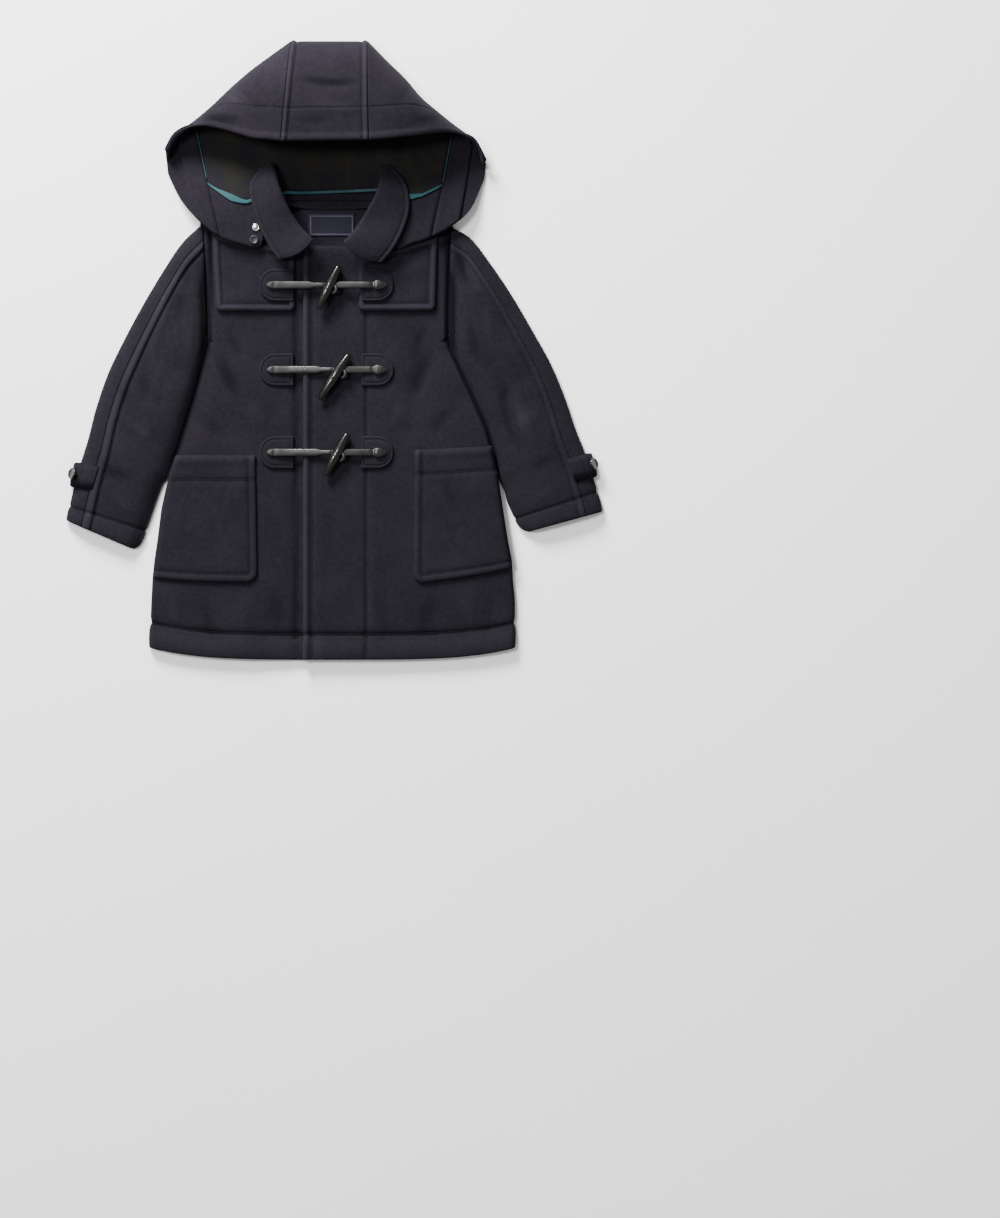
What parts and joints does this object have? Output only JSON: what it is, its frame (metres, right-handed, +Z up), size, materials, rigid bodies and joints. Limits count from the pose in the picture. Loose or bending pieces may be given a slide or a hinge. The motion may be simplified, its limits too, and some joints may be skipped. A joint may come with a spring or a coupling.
{
  "type": "child's duffle coat",
  "caption": "Child's hooded duffle coat laid flat, with shoulder flaps, patch pockets, toggles on leather straps and cuff tabs.",
  "frame": {"origin": "on the surface that the coat lies on, under the middle of its outline", "axes": "+X towards the wearer's left side, +Y from the hem to the hood, +Z up off the surface, out of the coat's front"},
  "size_m": [0.5898, 0.6804, 0.064],
  "materials": {
    "wool": "matte, brushed melton",
    "lining": "soft cotton check",
    "tape": "satin tape",
    "label": "woven, blank",
    "leather": "glossy",
    "horn": "polished, like horn",
    "button": "satin",
    "metal": "polished"
  },
  "bodies": {
    "root": {"back": "wool", "front_near": "wool", "front_far": "wool", "sleeve_front_near": "wool", "sleeve_back_near": "wool", "sleeve_front_far": "wool", "sleeve_back_far": "wool", "hood_side_near": "wool", "hood_side_far": "wool", "hood_gusset": "wool", "hood_facing_brim": "wool", "hood_facing_near": "wool", "hood_facing_far": "wool", "hood_flange_near": "wool", "hood_flange_far": "wool", "collar_near": "wool", "collar_far": "wool", "collar_stand": "wool", "neck_facing": "wool", "shoulder_flap_near": "wool", "shoulder_flap_far": "wool", "pocket_near": "wool", "pocket_far": "wool", "patch_near_1": "wool", "patch_near_2": "wool", "patch_near_3": "wool", "patch_far_1": "wool", "patch_far_2": "wool", "patch_far_3": "wool", "cuff_tab_near": "wool", "cuff_tab_far": "wool", "hood_lining": "lining", "hood_tape": "tape", "hood_piping_near": "tape", "hood_piping_far": "tape", "neck_label": "label", "strap_near_1": "leather", "strap_near_2": "leather", "strap_near_3": "leather", "strap_far_1": "leather", "strap_far_2": "leather", "strap_far_3": "leather", "toggle_1": "horn", "toggle_2": "horn", "toggle_3": "horn", "cuff_button_near": "horn", "cuff_button_far": "horn", "hood_stud": "metal", "hood_button": "button"}
  },
  "joints": []
}
